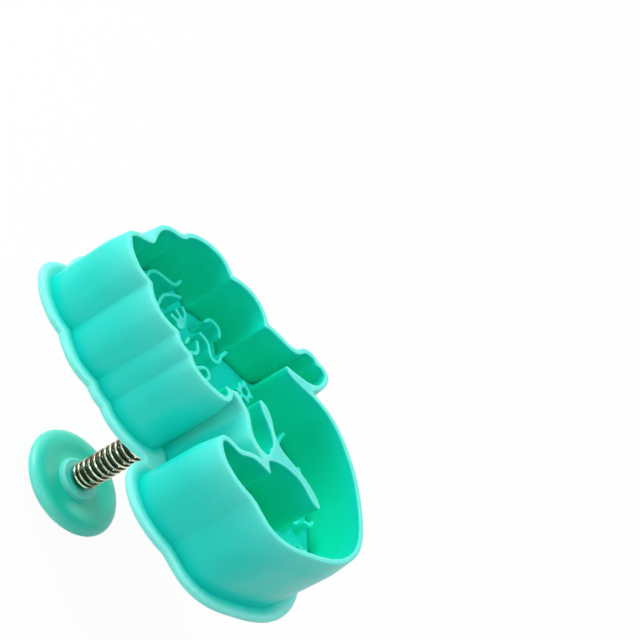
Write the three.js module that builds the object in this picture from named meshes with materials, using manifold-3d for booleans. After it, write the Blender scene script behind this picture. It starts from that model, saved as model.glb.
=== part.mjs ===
// Spring-loaded plunger cookie cutter in the shape of a mermaid, with a stamp that embosses and ejects.
// Millimetres, +Z up. The part stands on its knob with the cutting edge on top: the origin is the middle
// of the knob's palm face, +Z follows the plunger to the cutting edge, and +Y points to the figure's head.

import * as THREE from "three";
import { mergeVertices } from "three/addons/utils/BufferGeometryUtils.js";
import Module from "manifold-3d";

const wasm = await Module();
wasm.setup();

// Driving dimensions: cutter shell
const RIM_Z = 57; // height of the cutting edge above the palm face
const WALL_HEIGHT = 21; // cutting edge down to the front face of the flange
const WALL = 1.2; // thickness of the cutting wall at its edge
const TAPER = 0.8; // how much thicker the wall is below its tapered edge
const TAPER_HEIGHT = 6;
const WEB = 0.35; // gaps up to twice this between two wall faces are filled solid
const FLANGE_WIDTH = 3.9; // flange beyond the outer face of the wall's edge
const FLANGE_VALLEY = 0.3; // rounding of the flange's outline where it turns in
const FLANGE_THICKNESS = 1.8; // the same plate closes the cutter behind the stamp
const BEAD = 0.85; // rounding of the flange's edge
const BOSS_RADIUS = 5; // boss behind the plate that guides the stem and seats the spring
const BOSS_HEIGHT = 3;

// Driving dimensions: stamp
const STAMP_DEPTH = 13.9; // cutting edge down to the stamp's face at rest
const STAMP_THICKNESS = 4.6; // face down to the foot of the skirt
const STAMP_PLATE = 2;
const STAMP_CLEARANCE = 0.55; // between the stamp's edge and the wall
const SKIRT = 1.4; // thickness of the skirt under the stamp's edge
const RELIEF_HEIGHT = 4.8; // raised lines above the stamp's face
const TAIL_RELIEF_HEIGHT = 4; // the lower ones on the tail
const RELIEF_WIDTH = 0.95;
const POST_RADIUS = 4.2; // post behind the stamp that takes the plunger's stem
const SOCKET_DEPTH = 5.2;

// Driving dimensions: plunger and spring
const KNOB_PROFILE = [[7, 0], [9, 0.6], [10.8, 1.5], [12, 2.6], [12.65, 3.6], [12.4, 4.4], [11.7, 4.9],
  [10.6, 5.2]];
const KNOB_FACE_Z = 5.2; // knob's face towards the cutter
const COLLAR_RADIUS = 4.9; // low round step on the knob under the foot of the spring
const COLLAR_FILLET = 0.4;
const COLLAR_ROUND = 0.3; // of the step's top edge
const COLLAR_Z = 6; // top of the step, where the spring sits
const STEM_RADIUS = 1.6;
const STEM_TIP = 0.5; // chamfer on the end of the stem
const STEM_FIT = 0.4; // clearance around the stem
const GAP = 0.3; // between pieces that touch
const WIRE = 0.85; // diameter of the spring's wire
const SPRING_OUTER = 6.5; // outer diameter of the spring
const END_TURNS = 1.5; // turns wound closer at each end
const END_PITCH = 1.3;
const MAIN_PITCH = 1.65;

// The plunger's axis lies this far towards the head from the middle of the figure
const AXIS_Y = 1.25;

// Levels that follow from the driving dimensions
const FLANGE_FRONT = RIM_Z - WALL_HEIGHT;
const FLANGE_BACK = FLANGE_FRONT - FLANGE_THICKNESS;
const BOSS_BACK = FLANGE_BACK - BOSS_HEIGHT;
const STAMP_FACE = RIM_Z - STAMP_DEPTH;
const STAMP_FOOT = STAMP_FACE - STAMP_THICKNESS;
const POST_FOOT = FLANGE_FRONT + GAP;
const STEM_TOP = POST_FOOT + SOCKET_DEPTH - GAP;

// Fineness of the model
const GRID = 0.4; // cell of the grid that offset outlines are read from
const OUTLINE_STEP = 1; // length of an edge along the figure's outline
const OUTLINE_ERROR = 0.07; // largest departure of a thinned outline
const ROUND_SEGMENTS = 36;
const DOT_SEGMENTS = 16;
const STROKE_STEP = 1.2; // length of an edge along a raised line
const OVERLAP = 0.3; // how deep pieces of one moulding run into each other
const OVERCUT = 1; // how far a cut runs past the face it opens

// The opening that cuts the dough, clockwise from the tip of the hair, as seen from the cutting edge.
// Each row runs from one corner to the next and is smooth between them.
const FIGURE = [
  // hair, left side
  [[-6.9, 39.2], [-9.2, 37], [-10.6, 34], [-10.8, 31.8], [-10.4, 29.3]],
  [[-12.2, 27.4], [-13.4, 24.6], [-13.6, 22.8], [-13.2, 20.6], [-12.3, 18.5]],
  [[-13.3, 17.2], [-13.7, 15.6], [-13.2, 13.4]],
  [[-14.2, 11.4], [-14.4, 9.6], [-14, 6.9], [-13, 4.3], [-12, 2.7], [-10.9, 2.1], [-10, 2.7], [-9.8, 4.8]],
  [[-8.9, 2.8], [-7.3, 1.5]],
  // left arm: down its outer side, around the hand and up its inner side
  [[-7.6, -0.8], [-8.2, -3.3], [-9.8, -5.3], [-11.2, -7], [-11.9, -9.2], [-11.6, -11.5], [-10.3, -12.5],
    [-8.9, -11.7]],
  [[-7.7, -11.9], [-6, -10.4], [-4.7, -8.2], [-3.6, -5.4], [-2.2, -2.7]],
  // body, left side, then up between body and tail fin
  [[-1.5, -4.6], [-2.4, -7.3], [-4.4, -9.8], [-5.6, -12.4], [-5.8, -14.6], [-5.2, -18.4], [-4.8, -22.2],
    [-5.4, -26.1], [-6.6, -27.9], [-7.3, -26], [-6.7, -22.6], [-6.8, -20], [-8, -17], [-9.8, -14.6],
    [-11.9, -13.2], [-13.1, -14.2], [-14, -15.6]],
  // tail fin and the long curve of the tail
  [[-14.8, -12.8], [-16, -10.4], [-18.6, -8.2], [-19.5, -5.8], [-20.1, -4.2], [-21.2, -3.7], [-22.5, -4.6],
    [-24, -7.1], [-24.5, -10.4], [-24.3, -13.5], [-23.8, -16], [-24.2, -19.6], [-24.5, -22.8], [-23.6, -26],
    [-21.6, -29], [-18.6, -32], [-14.8, -35.4], [-10.5, -38.1], [-5.5, -39.3], [-0.6, -38.4], [4.8, -34.9],
    [10.7, -29.1], [14.8, -22.1], [16.2, -16.2], [15.4, -10.8], [13.6, -6.4], [13, -3.4], [13.5, -1.5]],
  // right arm
  [[15, -4.4], [17, -7.6], [19.2, -9.5], [22, -10], [24.3, -9.3], [24.6, -7.6], [23.8, -6.4]],
  [[24.2, -5], [23.1, -2.9], [20.4, -2], [18.6, 0.2], [17.5, 3.4], [16.5, 5.9], [15.2, 7.4]],
  // hair, right side and top
  [[16.8, 8.8], [18, 11.4], [18, 14.3], [16.9, 17.2], [14.9, 19.7]],
  [[15.9, 22.4], [16.1, 24.6], [15.2, 27.2], [13.4, 29.8], [11, 31.6], [8.9, 32], [7.4, 33.3], [6.2, 35],
    [4.4, 36.1], [2.2, 36.3], [-0.2, 35.7], [-1.9, 35.3], [-3.6, 36.6], [-5.2, 38.3], [-6.9, 39.2]],
];

// Raised lines of the stamp, drawn a little large and brought to size about this point
const RELIEF_SCALE = 0.98;
const RELIEF_MIDDLE = new THREE.Vector2(8.1, -0.2);
const RELIEF_LINES = [
  // hair
  [[-6.9, 34.8], [-6.4, 33.5], [-5.4, 32.1], [-3.9, 31.1], [-1.6, 30.7]],
  [[3, 31], [5, 31.2], [6.8, 30.5], [8, 28.8], [9.2, 26.5], [10.5, 25.6], [12.4, 25.6]],
  [[-6.6, 28.1], [-5.3, 26.1], [-3.3, 24.8], [-1, 24.5], [2.2, 25.3], [4.4, 25.5], [6.8, 24.5], [8.9, 23]],
  [[-9.6, 24.7], [-8.6, 23.3], [-8.2, 21.6], [-8.9, 18.8]],
  [[-11.2, 10.3], [-10.4, 11.5], [-9.3, 12.4], [-7.5, 12.9]],
  [[-7.7, 9.4], [-6.4, 9.6], [-5.2, 8.8], [-4.8, 7.5], [-5.4, 6.5], [-7, 6.2]],
  [[-3.7, 12.3], [-2.4, 10.2], [-0.4, 9], [1.1, 8.4], [1.7, 7.3], [1, 6], [-0.8, 5.8], [-2.5, 5.2],
    [-3.7, 4]],
  [[7.4, 14.2], [7.8, 12.5], [7.2, 10.7], [6, 9.4], [5.8, 8], [7, 7], [9, 7.5], [11.4, 7.5]],
  [[11.8, 15.5], [13.4, 15.2], [14.4, 13.6], [14.1, 12], [12.8, 11]],
  // lashes, nose and mouth
  [[-3, 17.4], [-4.4, 17.6], [-5.6, 18.1]],
  [[-2.7, 18], [-3.7, 19.7]],
  [[-1.4, 18.2], [-1.8, 20.2]],
  [[3, 19], [2.4, 21.1]],
  [[4.7, 19.2], [4.9, 21.4]],
  [[5.2, 18.6], [6.6, 19.3], [7.4, 20.9]],
  [[1, 14.8], [2.6, 15.1]],
  [[0.5, 12.6], [1.2, 11.9], [2.2, 11.6], [3.3, 12], [4.5, 13.3]],
  // strap between the two stars
  [[5, -1.8], [7.2, -1.7]],
  // outer ray of the fin
  [[-19.8, -13.2], [-19.1, -14.8], [-20, -17.4], [-20.7, -19.6], [-20, -21.8], [-17.6, -24.1], [-16, -26.4],
    [-15, -29.3]],
];

// Lower raised lines of the tail, drawn the same way
const TAIL_LINES = [
  // edge of the tail and its scales
  [[-1, -13.6], [1.2, -14.3], [3, -15.7], [4.6, -17.2], [5.6, -17.5], [6.8, -16.8], [8.6, -15.4],
    [10.8, -14.6], [13.5, -14.4]],
  [[-1.4, -20.1], [-0.9, -21.6], [0.5, -22.5], [1.7, -22.2], [2.4, -21.5]],
  [[6.6, -21.4], [7.4, -23.1], [8.9, -23.8], [10, -23.1], [10.7, -22.2]],
  [[1.1, -25.1], [1.6, -26.9], [3, -27.6], [4.1, -27.2], [4.7, -26.6]],
  [[-3.1, -28.5], [-2.4, -29.6], [-1.2, -29.9]],
  [[1.1, -31.3], [1.8, -32.4], [3.2, -32.5]],
  [[-5.8, -33.9], [-5.5, -34.9], [-4.8, -35.4]],
  // inner ray of the fin
  [[-10.8, -18.6], [-10.1, -20.6], [-11, -22.8], [-12.4, -24.8], [-12.7, -27], [-11.8, -30], [-10.4, -32.2]],
];

// Raised dots of the stamp: centre, half width, half height and tilt
const RELIEF_DOTS = [
  { at: [-1.8, 17.4], half: [1.8, 1.2], tilt: 0.1 }, // eyes
  { at: [3.5, 18.6], half: [1.9, 1.2], tilt: 0.2 },
  { at: [5.7, -11.9], half: [0.6, 0.6], tilt: 0 }, // navel
];

// Two starfish with a round hole each, drawn about their own middle
const STAR = [[-2.3, 2.2], [-1.1, 1.7], [0, 2.5], [1.1, 1.7], [2.3, 2.2], [1.6, -0.4], [1.4, -2.4],
  [0, -1.8], [-1.4, -2.4], [-1.6, -0.4]];
const STAR_HOLE = 0.95;
const STAR_CENTRES = [[3, -2.1], [9, -1.6]];

const toVectors = (points) => points.map(([x, y]) => new THREE.Vector2(x, y));
const toRelief = (points) => {
  return toVectors(points).map((point) => point.lerp(RELIEF_MIDDLE, 1 - RELIEF_SCALE));
};

// Points at even steps along a smooth curve through the given points
function smooth(points, step) {
  const curve = new THREE.SplineCurve(points);
  const count = Math.max(1, Math.round(curve.getLength() / step));
  return curve.getSpacedPoints(count);
}

// The figure's outline as one counter-clockwise loop
function figureLoop() {
  const loop = [];
  let corner = new THREE.Vector2(...FIGURE.at(-1).at(-1));
  for (const row of FIGURE) {
    const through = toVectors(row).filter((point) => point.distanceTo(corner) > 0);
    const stretch = smooth([corner, ...through], OUTLINE_STEP);
    loop.push(...stretch.slice(0, -1));
    corner = through.at(-1);
  }
  return THREE.ShapeUtils.isClockWise(loop) ? loop.reverse() : loop;
}

// Distance from a point to a loop, negative inside it
function signedDistance(x, y, loop) {
  let nearest = Infinity;
  let inside = false;
  let a = loop.at(-1);
  for (const b of loop) {
    const dx = b.x - a.x;
    const dy = b.y - a.y;
    const along = ((x - a.x) * dx + (y - a.y) * dy) / (dx * dx + dy * dy);
    const t = Math.min(1, Math.max(0, along));
    nearest = Math.min(nearest, Math.hypot(x - a.x - t * dx, y - a.y - t * dy));
    if (a.y > y !== b.y > y && x < a.x + ((y - a.y) / dy) * dx) inside = !inside;
    a = b;
  }
  return inside ? -nearest : nearest;
}

// The outer loop at a given distance outside a loop, or inside it where the distance is negative.
// The distance is worked out on a square grid, and the loop is followed from cell to cell.
function offsetLoop(loop, distance) {
  const box = new THREE.Box2().setFromPoints(loop).expandByScalar(Math.max(distance, 0) + 2 * GRID);
  const columns = Math.ceil((box.max.x - box.min.x) / GRID) + 1;
  const rows = Math.ceil((box.max.y - box.min.y) / GRID) + 1;
  const nodeX = (i) => box.min.x + i * GRID;
  const nodeY = (j) => box.min.y + j * GRID;
  const value = new Float64Array(columns * rows);
  for (let j = 0; j < rows; j++) {
    for (let i = 0; i < columns; i++) {
      value[j * columns + i] = signedDistance(nodeX(i), nodeY(j), loop) - distance;
    }
  }
  // Each cell edge that the outline crosses leads to the edge where it leaves the cell
  const next = new Map();
  const points = new Map();
  for (let j = 0; j < rows - 1; j++) {
    for (let i = 0; i < columns - 1; i++) {
      const corners = [[i, j], [i + 1, j], [i + 1, j + 1], [i, j + 1]];
      const crossings = [];
      corners.forEach(([ia, ja], k) => {
        const [ib, jb] = corners[(k + 1) % corners.length];
        const va = value[ja * columns + ia];
        const vb = value[jb * columns + ib];
        if (va < 0 === vb < 0) return;
        const key = `${Math.min(ia, ib)},${Math.min(ja, jb)},${ia === ib}`;
        const t = va / (va - vb);
        const x = nodeX(ia) + t * (nodeX(ib) - nodeX(ia));
        const y = nodeY(ja) + t * (nodeY(jb) - nodeY(ja));
        points.set(key, new THREE.Vector2(x, y));
        crossings.push({ key, leaving: va < 0 });
      });
      crossings.forEach((crossing, k) => {
        if (crossing.leaving) next.set(crossing.key, crossings[(k + 1) % crossings.length].key);
      });
    }
  }
  let best = [];
  while (next.size > 0) {
    const found = [];
    let key = next.keys().next().value;
    while (next.has(key)) {
      found.push(points.get(key));
      const following = next.get(key);
      next.delete(key);
      key = following;
    }
    if (best.length === 0 || THREE.ShapeUtils.area(found) > THREE.ShapeUtils.area(best)) best = found;
  }
  return thin(best);
}

// A loop with only the points that its shape needs
function thin(loop) {
  const keepBetween = (first, last) => {
    const a = loop[first];
    const b = loop[last % loop.length];
    let worst = OUTLINE_ERROR;
    let split = -1;
    for (let k = first + 1; k < last; k++) {
      const across = (b.x - a.x) * (loop[k].y - a.y) - (b.y - a.y) * (loop[k].x - a.x);
      const off = Math.abs(across) / a.distanceTo(b);
      if (off > worst) {
        worst = off;
        split = k;
      }
    }
    return split < 0 ? [a] : [...keepBetween(first, split), ...keepBetween(split, last)];
  };
  const half = Math.floor(loop.length / 2);
  return [...keepBetween(0, half), ...keepBetween(half, loop.length)];
}

// A line with width, as an outline with round ends
function strokeLoop(points, width) {
  const path = smooth(points, STROKE_STEP);
  const side = (index) => {
    const before = path[Math.max(index - 1, 0)];
    const after = path[Math.min(index + 1, path.length - 1)];
    const along = after.clone().sub(before).normalize();
    return new THREE.Vector2(-along.y, along.x).multiplyScalar(width / 2);
  };
  const cap = (index) => [1, 2, 3].map((k) => {
    const turn = -Math.PI * (k / 4) + (index === 0 ? Math.PI : 0);
    return side(index).rotateAround(new THREE.Vector2(), turn).add(path[index]);
  });
  const left = path.map((point, index) => point.clone().add(side(index)));
  const right = path.map((point, index) => point.clone().sub(side(index)));
  return [...left, ...cap(path.length - 1), ...right.reverse(), ...cap(0)];
}

function ellipseLoop(middle, half, tilt) {
  const curve = new THREE.EllipseCurve(middle.x, middle.y, ...half, 0, 2 * Math.PI, false, tilt);
  return curve.getPoints(DOT_SEGMENTS).slice(0, -1);
}

// A geometry as a solid that can be joined and cut
function solid(geometry) {
  geometry.deleteAttribute("normal");
  geometry.deleteAttribute("uv");
  const merged = mergeVertices(geometry, 1e-4);
  const vertProperties = new Float32Array(merged.getAttribute("position").array);
  const triVerts = new Uint32Array(merged.getIndex().array);
  return new wasm.Manifold(new wasm.Mesh({ numProp: 3, vertProperties, triVerts }));
}

// A loop raised from one level to another, with its two edges rounded by the bead
function slab(loop, from, to, bead = 0, holes = []) {
  const shape = new THREE.Shape(loop);
  shape.holes = holes.map((hole) => new THREE.Path(hole));
  const geometry = new THREE.ExtrudeGeometry(shape, {
    depth: to - from - 2 * bead,
    bevelEnabled: bead > 0,
    bevelThickness: bead,
    bevelSize: bead,
    bevelOffset: -bead,
    bevelSegments: 3,
  });
  return solid(geometry.translate(0, 0, from + bead));
}

// A loop raised from one level to another and drawn in towards the top.
// The same taper at its foot is cut away.
function taperedSlab(loop, from, to) {
  const geometry = new THREE.ExtrudeGeometry(new THREE.Shape(loop), {
    depth: to - from - TAPER_HEIGHT,
    bevelThickness: TAPER_HEIGHT,
    bevelSize: TAPER,
    bevelOffset: -TAPER,
    bevelSegments: 1,
  });
  return solid(geometry.translate(0, 0, from)).intersect(slab(loop, from, to + OVERCUT));
}

// A round bar along the plunger's axis, in the figure's own coordinates
function bar(radius, from, to) {
  const geometry = new THREE.CylinderGeometry(radius, radius, to - from, ROUND_SEGMENTS);
  return solid(geometry.rotateX(Math.PI / 2).translate(0, AXIS_Y, (from + to) / 2));
}

function toGeometry(manifold) {
  const mesh = manifold.getMesh();
  const geometry = new THREE.BufferGeometry();
  geometry.setAttribute("position", new THREE.BufferAttribute(new Float32Array(mesh.vertProperties), 3));
  geometry.setIndex(new THREE.BufferAttribute(new Uint32Array(mesh.triVerts), 1));
  return geometry;
}

// Cutting wall, flange and back plate, one moulding
function cutterShell(figure) {
  const edgeLoop = offsetLoop(offsetLoop(figure, WALL + WEB), -WEB);
  const wallLoop = offsetLoop(edgeLoop, TAPER);
  const flangeLoop = offsetLoop(offsetLoop(edgeLoop, FLANGE_WIDTH + FLANGE_VALLEY), -FLANGE_VALLEY);
  const flange = slab(flangeLoop, FLANGE_BACK, FLANGE_FRONT, BEAD);
  const boss = bar(BOSS_RADIUS, BOSS_BACK, FLANGE_BACK + OVERLAP);
  const wall = taperedSlab(wallLoop, FLANGE_FRONT - OVERLAP, RIM_Z);
  const cavity = slab(figure, FLANGE_FRONT, RIM_Z + OVERCUT);
  const stemHole = bar(STEM_RADIUS + STEM_FIT, BOSS_BACK - OVERCUT, FLANGE_FRONT + OVERCUT);
  return toGeometry(flange.add(boss).add(wall).subtract(cavity).subtract(stemHole));
}

// Embossing plate with its relief, a skirt under its edge and a post for the stem, one moulding
function stamp(figure) {
  const reliefFrom = STAMP_FACE - OVERLAP;
  const reliefTo = STAMP_FACE + RELIEF_HEIGHT;
  const tailTo = STAMP_FACE + TAIL_RELIEF_HEIGHT;
  const faceLoop = offsetLoop(figure, -STAMP_CLEARANCE);
  const hollowLoop = offsetLoop(figure, -STAMP_CLEARANCE - SKIRT);
  const hollow = slab(hollowLoop, STAMP_FOOT - OVERCUT, STAMP_FACE - STAMP_PLATE);
  let body = slab(faceLoop, STAMP_FOOT, STAMP_FACE).subtract(hollow);
  for (const line of RELIEF_LINES) {
    body = body.add(slab(strokeLoop(toRelief(line), RELIEF_WIDTH), reliefFrom, reliefTo));
  }
  for (const line of TAIL_LINES) {
    body = body.add(slab(strokeLoop(toRelief(line), RELIEF_WIDTH), reliefFrom, tailTo));
  }
  for (const { at, half, tilt } of RELIEF_DOTS) {
    const [middle] = toRelief([at]);
    body = body.add(slab(ellipseLoop(middle, half, tilt), reliefFrom, reliefTo));
  }
  for (const middle of toRelief(STAR_CENTRES)) {
    const outline = toVectors(STAR).map((point) => point.add(middle));
    const hole = ellipseLoop(middle, [STAR_HOLE, STAR_HOLE], 0);
    body = body.add(slab(outline, reliefFrom, reliefTo, 0, [hole]));
  }
  const post = bar(POST_RADIUS, POST_FOOT, STAMP_FACE - STAMP_PLATE + OVERLAP);
  const socket = bar(STEM_RADIUS + STEM_FIT, POST_FOOT - OVERCUT, POST_FOOT + SOCKET_DEPTH);
  return toGeometry(body.add(post).subtract(socket));
}

// Push knob and stem, one moulding turned about the plunger's axis
function plungerKnob() {
  const collar = [[COLLAR_RADIUS + COLLAR_FILLET, KNOB_FACE_Z],
    [COLLAR_RADIUS, KNOB_FACE_Z + COLLAR_FILLET],
    [COLLAR_RADIUS, COLLAR_Z - COLLAR_ROUND],
    [COLLAR_RADIUS - COLLAR_ROUND, COLLAR_Z]];
  const stem = [[STEM_RADIUS, COLLAR_Z], [STEM_RADIUS, STEM_TOP - STEM_TIP],
    [STEM_RADIUS - STEM_TIP, STEM_TOP]];
  const profile = [[0, 0], ...KNOB_PROFILE, ...collar, ...stem, [0, STEM_TOP]];
  const geometry = new THREE.LatheGeometry(toVectors(profile), ROUND_SEGMENTS);
  return toGeometry(solid(geometry.rotateX(Math.PI / 2)));
}

// Compression spring between the knob's collar and the boss behind the cutter, wound closer at its ends
function returnSpring() {
  const stepsPerTurn = 8;
  const sides = 5;
  const radius = (SPRING_OUTER - WIRE) / 2;
  const bottom = COLLAR_Z + GAP + WIRE / 2;
  const top = BOSS_BACK - GAP - WIRE / 2;
  const mainTurns = (top - bottom - 2 * END_TURNS * END_PITCH) / MAIN_PITCH;
  const turns = mainTurns + 2 * END_TURNS;
  const steps = Math.round(turns * stepsPerTurn);
  const height = (turn) => {
    const closeTurns = Math.min(turn, END_TURNS) + Math.max(turn - END_TURNS - mainTurns, 0);
    return bottom + closeTurns * END_PITCH + (turn - closeTurns) * MAIN_PITCH;
  };
  const centres = Array.from({ length: steps + 1 }, (_, step) => {
    const turn = (step / steps) * turns;
    const angle = turn * 2 * Math.PI;
    return new THREE.Vector3(radius * Math.cos(angle), radius * Math.sin(angle), height(turn));
  });
  const positions = [];
  for (const centre of centres) {
    const outward = new THREE.Vector3(centre.x, centre.y, 0).normalize();
    for (let side = 0; side < sides; side++) {
      const angle = (side / sides) * 2 * Math.PI;
      const point = centre.clone().addScaledVector(outward, (WIRE / 2) * Math.cos(angle));
      point.z += (WIRE / 2) * Math.sin(angle);
      positions.push(...point.toArray());
    }
  }
  const index = [];
  for (let ring = 0; ring < steps; ring++) {
    for (let side = 0; side < sides; side++) {
      const a = ring * sides + side;
      const b = ring * sides + ((side + 1) % sides);
      index.push(a, a + sides, b, b, a + sides, b + sides);
    }
  }
  const lastRing = steps * sides;
  for (let side = 1; side < sides - 1; side++) {
    index.push(0, side, side + 1);
    index.push(lastRing, lastRing + side + 1, lastRing + side);
  }
  const gap = leastGap(centres, stepsPerTurn);
  console.log(`spring: ${turns.toFixed(1)} turns, least gap ${gap.toFixed(2)} mm`);
  const geometry = new THREE.BufferGeometry();
  geometry.setAttribute("position", new THREE.Float32BufferAttribute(positions, 3));
  geometry.setIndex(index);
  return geometry;
}

// Least gap between the wire and itself, measured between points at least half a turn apart
function leastGap(centres, stepsPerTurn) {
  let least = Infinity;
  centres.forEach((point, i) => {
    for (let j = i + stepsPerTurn / 2; j < centres.length; j++) {
      least = Math.min(least, point.distanceTo(centres[j]) - WIRE);
    }
  });
  return least;
}

const turquoise = { color: 0x3fcfbd, roughness: 0.42, metalness: 0 };
const steel = { color: 0xb9bcb6, roughness: 0.25, metalness: 1 };

function piece(name, geometry, finish) {
  geometry.computeVertexNormals();
  const mesh = new THREE.Mesh(geometry, new THREE.MeshStandardMaterial(finish));
  mesh.name = name;
  return mesh;
}

const outline = figureLoop();

// Pieces that follow the figure are drawn about its middle and then set on the plunger's axis
const figurePieces = new THREE.Group();
figurePieces.position.y = -AXIS_Y;
figurePieces.add(piece("cutter_shell", cutterShell(outline), turquoise));
figurePieces.add(piece("stamp", stamp(outline), turquoise));

const cutter = new THREE.Group();
cutter.add(figurePieces);
cutter.add(piece("plunger_knob", plungerKnob(), turquoise));
cutter.add(piece("return_spring", returnSpring(), steel));

export default cutter;
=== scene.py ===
# Dressed model of a spring-loaded mermaid cookie cutter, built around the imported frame.
# Shapes are worked out in millimetres in the frame's axes, and become metres when a mesh is made.
import math

import bpy
import numpy as np
from mathutils import Matrix, Vector
from mathutils.geometry import delaunay_2d_cdt

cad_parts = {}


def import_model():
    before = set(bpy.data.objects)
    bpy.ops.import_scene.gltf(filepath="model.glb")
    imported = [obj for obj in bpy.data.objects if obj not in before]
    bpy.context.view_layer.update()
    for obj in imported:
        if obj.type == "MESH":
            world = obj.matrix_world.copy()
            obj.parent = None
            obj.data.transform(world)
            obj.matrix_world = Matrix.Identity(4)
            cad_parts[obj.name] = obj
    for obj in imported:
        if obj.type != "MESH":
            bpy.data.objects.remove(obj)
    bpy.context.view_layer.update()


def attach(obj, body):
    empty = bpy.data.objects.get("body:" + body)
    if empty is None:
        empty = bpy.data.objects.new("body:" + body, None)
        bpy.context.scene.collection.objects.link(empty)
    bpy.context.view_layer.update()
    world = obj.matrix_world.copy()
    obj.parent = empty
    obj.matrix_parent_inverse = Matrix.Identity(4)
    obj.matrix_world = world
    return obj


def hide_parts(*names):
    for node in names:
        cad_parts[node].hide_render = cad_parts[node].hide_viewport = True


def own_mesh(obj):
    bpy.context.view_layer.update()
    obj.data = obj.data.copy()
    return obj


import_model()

MM = 0.001

# Levels along the plunger's axis and sizes that the solids have too
RIM_Z = 57
FLANGE_FRONT = 36
FLANGE_BACK = 34.2
BOSS_BACK = 31.2
BOSS_RADIUS = 5
HOLE_RADIUS = 2
WALL = 1.2
TAPER = 0.8
TAPER_HEIGHT = 6
WEB = 0.25  # rounding of the notches between the webs, sharper than in the solids
FLANGE_WIDTH = 3.9
FLANGE_VALLEY = 0.3  # rounding of the notches in the flange's edge
STAMP_FACE = 43.1
STAMP_FOOT = 38.5
STAMP_PLATE = 2
STAMP_CLEARANCE = 0.55
SKIRT = 1.4
POST_FOOT = 36.3
POST_RADIUS = 4.2
POST_BOSS = 4.8
SOCKET_TOP = 41.5
RELIEF_HEIGHT = 4.8
TAIL_RELIEF_HEIGHT = 4
TAIL_TOP_Y = -14  # above the lower lines on the tail
BELLY_Y = -13.6  # below the drawing above them
FIN_X = -13.5  # the outer ray of the fin, left of this, has the full height
RELIEF_WIDTH = 0.95
STEM_RADIUS = 1.6
STEM_TOP = 41.2
COLLAR_Z = 6
WIRE = 0.85
SPRING_OUTER = 6.5
SPRING_BOTTOM = 6.3
SPRING_TOP = 30.9
END_TURNS = 1.5
END_PITCH = 1.3
MAIN_PITCH = 1.65
AXIS_Y = 1.25  # of the plunger, in the figure's own drawing

# Fineness
GRID = 0.3
FINE_GRID = 0.12
OUTLINE_STEP = 0.35
LEVEL_STEP = 0.5
RELIEF_GRID = 0.14
CORNER_IN = 0.17  # rounding of the outline's corners that point into the figure
CORNER_OUT = 0.3  # rounding of those that point out of it
ROUND_SEGMENTS = 96
SAME_PLACE = 1e-7
LEAST_POINTS = 12  # a shorter loop around a hump or in a corner is left out

# The opening that cuts the dough, counter-clockwise from the tip of the hair, seen from the cutting edge.
# Each row runs from one corner to the next and is smooth between them.
FIGURE = [
    # hair, left side
    [(-6.9, 39.2), (-9.2, 37), (-10.6, 34), (-10.8, 31.8), (-10.4, 29.3)],
    [(-12.2, 27.4), (-13.4, 24.6), (-13.6, 22.8), (-13.2, 20.6), (-12.3, 18.5)],
    [(-13.3, 17.2), (-13.7, 15.6), (-13.2, 13.4)],
    [(-14.2, 11.4), (-14.4, 9.6), (-14, 6.9), (-13, 4.3), (-12, 2.7), (-10.9, 2.1), (-10, 2.7),
     (-9.8, 4.8)],
    [(-8.9, 2.8), (-7.3, 1.5)],
    # left arm: down its outer side, around the hand and up its inner side
    [(-7.6, -0.8), (-8.2, -3.3), (-9.8, -5.3), (-11.2, -7), (-11.9, -9.2), (-11.6, -11.5), (-10.3, -12.5),
     (-8.9, -11.7)],
    [(-7.7, -11.9), (-6, -10.4), (-4.7, -8.2), (-3.6, -5.4), (-2.2, -2.7)],
    # body, left side, then up between body and tail fin
    [(-1.5, -4.6), (-2.4, -7.3), (-4.4, -9.8), (-5.6, -12.4), (-5.8, -14.6), (-5.2, -18.4), (-4.8, -22.2),
     (-5.4, -26.1), (-6.6, -27.9), (-7.3, -26), (-6.7, -22.6), (-6.8, -20), (-8, -17), (-9.8, -14.6),
     (-11.9, -13.2), (-13.1, -14.2), (-14, -15.6)],
    # tail fin and the long curve of the tail
    [(-14.8, -12.8), (-16, -10.4), (-18.6, -8.2), (-19.5, -5.8), (-20.1, -4.2), (-21.2, -3.7),
     (-22.5, -4.6), (-24, -7.1), (-24.5, -10.4), (-24.3, -13.5), (-23.8, -16), (-24.2, -19.6),
     (-24.5, -22.8), (-23.6, -26), (-21.6, -29), (-18.6, -32), (-14.8, -35.4), (-10.5, -38.1),
     (-5.5, -39.3), (-0.6, -38.4), (4.8, -34.9), (10.7, -29.1), (14.8, -22.1), (16.2, -16.2),
     (15.4, -10.8), (13.6, -6.4), (13, -3.4), (13.5, -1.5)],
    # right arm
    [(15, -4.4), (17, -7.6), (19.2, -9.5), (22, -10), (24.3, -9.3), (24.6, -7.6), (23.8, -6.4)],
    [(24.2, -5), (23.1, -2.9), (20.4, -2), (18.6, 0.2), (17.5, 3.4), (16.5, 5.9), (15.2, 7.4)],
    # hair, right side and top
    [(16.8, 8.8), (18, 11.4), (18, 14.3), (16.9, 17.2), (14.9, 19.7)],
    [(15.9, 22.4), (16.1, 24.6), (15.2, 27.2), (13.4, 29.8), (11, 31.6), (8.9, 32), (7.4, 33.3), (6.2, 35),
     (4.4, 36.1), (2.2, 36.3), (-0.2, 35.7), (-1.9, 35.3), (-3.6, 36.6), (-5.2, 38.3), (-6.9, 39.2)],
]

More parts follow.
